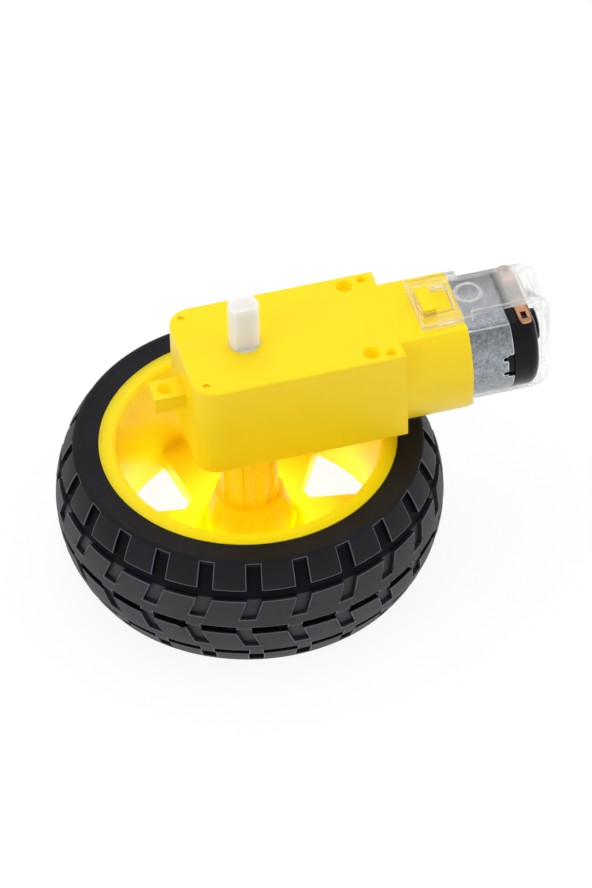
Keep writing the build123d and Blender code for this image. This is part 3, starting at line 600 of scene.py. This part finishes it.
def tread_radius(tyre, height):
    """Radius of the crown at a height."""
    half = tyre.width / 2
    rise = tyre.radius - tyre.shoulder
    bend = (half * half + rise * rise) / (2 * rise)
    return tyre.radius - bend + sqrt(bend * bend - (height - half) ** 2)


def edge_angle(row_start, row_end, angle_start, angle_end):
    """Angle of a leaning block edge as a function of height."""
    def at(height):
        return angle_start + (angle_end - angle_start) * (height - row_start) / (row_end - row_start)
    return at


def upright_edge(angle):
    """Angle of an upright block edge as a function of height."""
    return lambda height: angle


def beside_block(angle, left):
    """Whether an angle is between a block that starts at left and the next one."""
    return (angle - left) % SECTOR > BLOCK


def place_of(centre):
    """Angle in degrees and height of a face's centre."""
    return degrees(atan2(centre.y, centre.x)), centre.z


def cross_section(tyre):
    """Outline of the tyre without its tread pattern, from the lower end of the bore to the upper one."""
    heights = [tyre.width * (0.5 - 0.5 * cos(pi * index / CROWN_STEPS)) for index in range(1, CROWN_STEPS)]
    crown = [(tread_radius(tyre, height), 0, height) for height in heights]
    lower = [(tyre.bore, 0, STEP), (tyre.shoulder - STEP_START, 0, STEP), (tyre.shoulder - STEP_END, 0, 0),
             (tyre.shoulder - LIP, 0, 0)]
    upper = [(radius, 0, tyre.width - height) for radius, _, height in reversed(lower)]
    return [*lower, *crown, *upper]


class GEARMOTOR_OT_tyre(bpy.types.Operator):
    """Model the rubber tyre with its blocks, pockets and slots"""
    bl_idname = "gearmotor.tyre"
    bl_label = "Tyre"

    def execute(self, context):
        tyre = context.scene.gearmotor_tyre
        piece = trace("tyre_tread", cross_section(tyre))
        wear(piece, "rubber", "side wall", "edge highlight rubber", "pocket")
        edit(piece, "VERT")
        bpy.ops.mesh.select_all(action="SELECT")
        bpy.ops.mesh.spin(steps=SECTOR_STEPS, angle=radians(SECTOR), center=(0, 0, 0), axis=(0, 0, 1))
        end_edit()
        clean(piece)
        first = min(degrees(atan2(v.co.y, v.co.x)) for v in piece.data.vertices) + BLOCK_START
        upper_left = edge_angle(UPPER_ROW[1], UPPER_FOOT, first, first + LEAN)
        lower_left = edge_angle(SLOT_FLOOR, LOWER_SLOT[1], first + LEAN, first)

        def on_tread(centre, low, high):
            return hypot(centre.x, centre.y) > tyre.shoulder - TREAD_MARGIN and low < centre.z < high

        def in_pocket(centre):
            if not on_tread(centre, BASE_ROW[0], SHOULDER_ROW[1]):
                return False
            angle, height = place_of(centre)
            if height > SHOULDER_ROW[0]:
                return beside_block(angle, first)
            if height > UPPER_ROW[1]:
                return True
            if height > UPPER_ROW[0]:
                return beside_block(angle, upper_left(height))
            if LOWER_ROW[0] < height < LOWER_ROW[1]:
                left = lower_left(height) if height < SLOT_FLOOR else first + LEAN
                return beside_block(angle, left)
            return height < LOWER_SLOT[0] and beside_block(angle, first)

        def in_slot(centre):
            if not on_tread(centre, BASE_ROW[0], SHOULDER_ROW[1]):
                return False
            angle, height = place_of(centre)
            if SLOT_FLOOR < height < UPPER_FOOT:
                return not beside_block(angle, first + LEAN)
            return LOWER_SLOT[0] < height < LOWER_SLOT[1] and not beside_block(angle, first)

        def on_crown(point):
            inside = 0 < point.z < tyre.width
            return inside and hypot(point.x, point.y) > tread_radius(tyre, point.z) - CROWN_MARGIN

        self.score(piece, tyre, on_tread, first, upper_left, lower_left)
        ring_of(piece, tyre.blocks)
        sink(piece, tyre.groove, in_pocket)
        sink(piece, tyre.slot, in_slot)
        self.paint(piece, tyre, on_crown, in_slot)
        round_edges(piece, tyre.edge, SHARP_TREAD_ANGLE, lambda a, b: float(on_crown(a) and on_crown(b)),
                    HIGHLIGHT_EDGES, clamp=False)
        fix_piece(piece, "output", "tyre_rubber", "tyre")
        return {"FINISHED"}

    def score(self, piece, tyre, on_tread, first, upper_left, lower_left):
        """Draw the edges of the blocks on the tread of one sector."""
        levels = sorted({*SHOULDER_ROW, *UPPER_ROW, UPPER_FOOT, SLOT_FLOOR, MOULD_LINE, *LOWER_ROW,
                         *LOWER_SLOT, *BASE_ROW})
        for level in levels:
            bisect(piece, (0, 0, level), (0, 0, 1),
                   lambda centre: on_tread(centre, SIDE_MARGIN, tyre.width - SIDE_MARGIN))
        lean_row = (SLOT_FLOOR, UPPER_FOOT)
        upper_row = (UPPER_FOOT, UPPER_ROW[1])
        lower_row = (LOWER_SLOT[1], SLOT_FLOOR)
        base_row = (BASE_ROW[0], LOWER_SLOT[1])
        lines = [(upright_edge(first), SHOULDER_ROW), (upright_edge(first + BLOCK), SHOULDER_ROW),
                 (upper_left, upper_row), (lambda height: upper_left(height) + BLOCK, upper_row),
                 (upright_edge(first + LEAN), lean_row), (upright_edge(first + LEAN + BLOCK), lean_row),
                 (lower_left, lower_row), (lambda height: lower_left(height) + BLOCK, lower_row),
                 (upright_edge(first), base_row), (upright_edge(first + BLOCK), base_row)]
        for angle_at, (low, high) in lines:
            ends = []
            for height in (low, high):
                angle = radians(angle_at(height))
                radius = tread_radius(tyre, height)
                ends.append(Vector((radius * cos(angle), radius * sin(angle), height)))
            middle = (ends[0] + ends[1]) / 2
            outward = Vector((middle.x, middle.y, 0)).normalized()
            normal = (ends[1] - ends[0]).cross(outward).normalized()
            bisect(piece, ends[0], normal, lambda centre: on_tread(centre, low, high))

    def paint(self, piece, tyre, on_crown, in_slot):
        """Give the side faces and the shoulder row a darker rubber, and the sunken faces round the shoulder
        row and in the slots a darker one still: painted shade.
        """
        for face in piece.data.polygons:
            sunk = not all(on_crown(piece.data.vertices[v].co) for v in face.vertices)
            if hypot(face.center.x, face.center.y) < tyre.shoulder - CROWN_MARGIN:
                face.material_index = SHADED_SIDE
            elif sunk and (face.center.z > UPPER_ROW[1] or in_slot(face.center)):
                face.material_index = SHADED_POCKET
            # The shoulder row gets the darker side rubber: painted shade
            elif face.center.z > UPPER_ROW[1] + ROW_MARGIN:
                face.material_index = SHADED_SIDE


# ---------------------------------------------------------------- parts with rounded edges
class GEARMOTOR_OT_mouldings(bpy.types.Operator):
    """Round the edges of the case halves, the wheel and the shaft"""
    bl_idname = "gearmotor.mouldings"
    bl_label = "Mouldings"

    def execute(self, context):
        edges = context.scene.gearmotor_edges
        for half in ("upper", "lower"):
            softened(f"case_{half}", f"{half}_case_moulding", edges.case, "yellow_abs", "yellow",
                     seam=edges.seam_height, patch_finish="painted glow yellow", in_patch=in_hole)
        softened("wheel_rim", "wheel_moulding", edges.wheel, "yellow_abs", "wheel yellow",
                 patch_finish="web yellow", in_patch=on_web)
        softened("output_shaft", "shaft_moulding", edges.shaft, "nylon_white", "nylon")
        softened("retaining_strap", "strap_moulding", edges.strap, "strap_clear", "clear", "clear edge")
        return {"FINISHED"}


class GEARMOTOR_OT_motor(bpy.types.Operator):
    """Round the edges of the motor's can and end cap"""
    bl_idname = "gearmotor.motor"
    bl_label = "Motor"

    def execute(self, context):
        edges = context.scene.gearmotor_edges
        softened("motor_can", "can_shell", edges.metal, "zinc_steel", "zinc", "edge highlight zinc")
        softened("motor_end_cap", "end_cap_moulding", edges.metal, "cap_black", "black")
        return {"FINISHED"}


# ---------------------------------------------------------------- stage
# Strength of the backdrop as it is seen, and as it lights the part
DIRECT_LIGHT = 1.0
SOFT_LIGHT = 0.62
# Upward part of a mirrored ray's direction over which the backdrop turns from the one to the other
MIRROR_RISE = (0.05, 0.5)
# The floor's height in metres, just under the part, and its share of even glow
FLOOR_HEIGHT = -0.0001
FLOOR_GLOW = 0.9
# Lamps: name, place and size in metres, and power in watts
SOFTBOXES = [("Top softbox", (0.05, 0.35, 0.9), 0.9, 5.3),
             ("Left softbox", (-0.9, -0.3, 0.5), 0.7, 3.0),
             ("Right softbox", (0.9, -0.2, 0.5), 0.7, 2.0)]
LIT_POINT = (0, 0, 0.03)
LIGHT_TABLE = ("Light table under the wheel", (0, 0, -0.00005), 0.034, 0.026)
# Camera: sensor in mm and clipping in metres
SENSOR_WIDTH = 36.0
CLIP_RANGE = (0.05, 20.0)


class GEARMOTOR_OT_stage(bpy.types.Operator):
    """Set the pale floor, the soft studio lamps and the camera"""
    bl_idname = "gearmotor.stage"
    bl_label = "Stage"

    def execute(self, context):
        scene = context.scene
        scene.view_settings.view_transform = "Standard"
        self.backdrop(scene)
        self.floor(scene.gearmotor_colours.floor)
        self.lamps()
        self.camera(scene, scene.gearmotor_stage)
        return {"FINISHED"}

    def backdrop(self, scene):
        """White for the camera and through the clear strap, softer for light, darker upwards for gloss."""
        world = bpy.data.worlds.new("Pale backdrop")
        world.use_nodes = True
        scene.world = world
        nodes, links = world.node_tree.nodes, world.node_tree.links
        room = nodes["Background"]
        room.inputs["Color"].default_value = (1, 1, 1, 1)
        rays = nodes.new("ShaderNodeLightPath")
        unmirrored = self.join(nodes, links, "LESS_THAN", rays.outputs["Glossy Depth"], 0.5)
        through = self.join(nodes, links, "MULTIPLY", rays.outputs["Is Transmission Ray"], unmirrored)
        direct = self.join(nodes, links, "MAXIMUM", rays.outputs["Is Camera Ray"], through)
        around = nodes.new("ShaderNodeTexCoord")
        height = nodes.new("ShaderNodeSeparateXYZ")
        links.new(around.outputs["Generated"], height.inputs["Vector"])
        mirrored = nodes.new("ShaderNodeMapRange")
        for socket, value in (("From Min", MIRROR_RISE[0]), ("From Max", MIRROR_RISE[1]),
                              ("To Min", DIRECT_LIGHT), ("To Max", SOFT_LIGHT)):
            mirrored.inputs[socket].default_value = value
        links.new(height.outputs["Z"], mirrored.inputs["Value"])
        gloss = self.choose(nodes, links, rays.outputs["Is Glossy Ray"], SOFT_LIGHT,
                            mirrored.outputs["Result"])
        links.new(self.choose(nodes, links, direct, gloss, DIRECT_LIGHT), room.inputs["Strength"])

    def join(self, nodes, links, operation, first, second):
        """A math node on one output and another output or a number."""
        made = nodes.new("ShaderNodeMath")
        made.operation = operation
        links.new(first, made.inputs[0])
        if isinstance(second, float):
            made.inputs[1].default_value = second
        else:
            links.new(second, made.inputs[1])
        return made.outputs["Value"]

    def choose(self, nodes, links, test, otherwise, value):
        """The value for rays that pass the test, and the other one for the rest."""
        made = nodes.new("ShaderNodeMix")
        links.new(test, made.inputs["Factor"])
        for socket, given in (("A", otherwise), ("B", value)):
            if isinstance(given, float):
                made.inputs[socket].default_value = given
            else:
                links.new(given, made.inputs[socket])
        return made.outputs["Result"]

    def floor(self, colour):
        """Pale floor that mostly glows evenly, with a little shading of its own."""
        deselect()
        bpy.ops.mesh.primitive_plane_add(size=3.0, location=(0, 0, FLOOR_HEIGHT))
        floor = bpy.context.object
        floor.name = "pale_floor"
        material, nodes, links, shader, place = base_material("Pale floor", colour, 0.8)
        grain = noise(nodes, links, place, 40.0, 2.0)
        links.new(ramp(nodes, links, grain, [(0.0, shade(colour, 0.99)), (1.0, colour)]),
                  shader.inputs["Base Color"])
        glow = nodes.new("ShaderNodeEmission")
        glow.inputs["Strength"].default_value = 1.0
        mix = nodes.new("ShaderNodeMixShader")
        mix.inputs["Fac"].default_value = FLOOR_GLOW
        links.new(shader.outputs["BSDF"], mix.inputs[1])
        links.new(glow.outputs["Emission"], mix.inputs[2])
        links.new(mix.outputs["Shader"], nodes["Material Output"].inputs["Surface"])
        floor.data.materials.append(material)

    def lamps(self):
        for name, place, size, power in SOFTBOXES:
            lamp = self.lamp(name, place, size, power)
            lamp.rotation_euler = (Vector(place) - Vector(LIT_POINT)).to_track_quat("Z", "Y").to_euler()
        lamp = self.lamp(*LIGHT_TABLE)
        lamp.data.shape = "DISK"
        lamp.rotation_euler = (pi, 0, 0)
        lamp.visible_camera = lamp.visible_transmission = False

    def lamp(self, name, place, size, power):
        """Square area lamp that gives no mirror image."""
        data = bpy.data.lights.new(name, "AREA")
        data.energy = power
        data.shape = "SQUARE"
        data.size = size
        lamp = bpy.data.objects.new(name, data)
        lamp.location = place
        lamp.visible_glossy = False
        bpy.context.collection.objects.link(lamp)
        return lamp

    def camera(self, scene, settings):
        az, el, roll = settings.camera_azimuth, settings.camera_elevation, settings.camera_roll
        forward = Vector((-sin(az) * cos(el), cos(az) * cos(el), -sin(el)))
        level = Vector((cos(az), sin(az), 0))
        rise = level.cross(forward)
        right = cos(roll) * level + sin(roll) * rise
        up = -sin(roll) * level + cos(roll) * rise
        data = bpy.data.cameras.new("Camera")
        data.lens = settings.lens
        data.sensor_width = SENSOR_WIDTH
        data.clip_start, data.clip_end = CLIP_RANGE
        camera = bpy.data.objects.new("Camera", data)
        turn = Matrix((right, up, -forward)).transposed().to_4x4()
        camera.matrix_world = Matrix.Translation(Vector(settings.camera_target)
                                                 - forward * settings.camera_distance) @ turn
        bpy.context.collection.objects.link(camera)
        scene.camera = camera


class GEARMOTOR_PT_panel(bpy.types.Panel):
    """Lists the steps that dress the geared motor"""
    bl_idname = "GEARMOTOR_PT_panel"
    bl_label = "Geared Motor"
    bl_space_type = "VIEW_3D"
    bl_region_type = "UI"
    bl_category = "Geared Motor"

    def draw(self, context):
        for operator in OPERATORS:
            self.layout.operator(operator.bl_idname)
        for name, group in SETTINGS:
            settings = getattr(context.scene, f"gearmotor_{name}")
            for field in group.__annotations__:
                self.layout.prop(settings, field)


SETTINGS = [("tyre", GearmotorTyreSizes), ("edges", GearmotorEdgeSizes),
            ("colours", GearmotorColours), ("stage", GearmotorStageSizes)]
OPERATORS = [GEARMOTOR_OT_finishes, GEARMOTOR_OT_tyre, GEARMOTOR_OT_mouldings, GEARMOTOR_OT_motor,
             GEARMOTOR_OT_stage]


def register():
    for name, group in SETTINGS:
        bpy.utils.register_class(group)
        setattr(bpy.types.Scene, f"gearmotor_{name}", PointerProperty(type=group))
    for each in (*OPERATORS, GEARMOTOR_PT_panel):
        bpy.utils.register_class(each)


def unregister():
    for each in reversed((*OPERATORS, GEARMOTOR_PT_panel)):
        bpy.utils.unregister_class(each)
    for name, group in reversed(SETTINGS):
        delattr(bpy.types.Scene, f"gearmotor_{name}")
        bpy.utils.unregister_class(group)


def main():
    register()
    for operator in OPERATORS:
        family, name = operator.bl_idname.split(".")
        getattr(getattr(bpy.ops, family), name)()


if __name__ == "__main__":
    main()
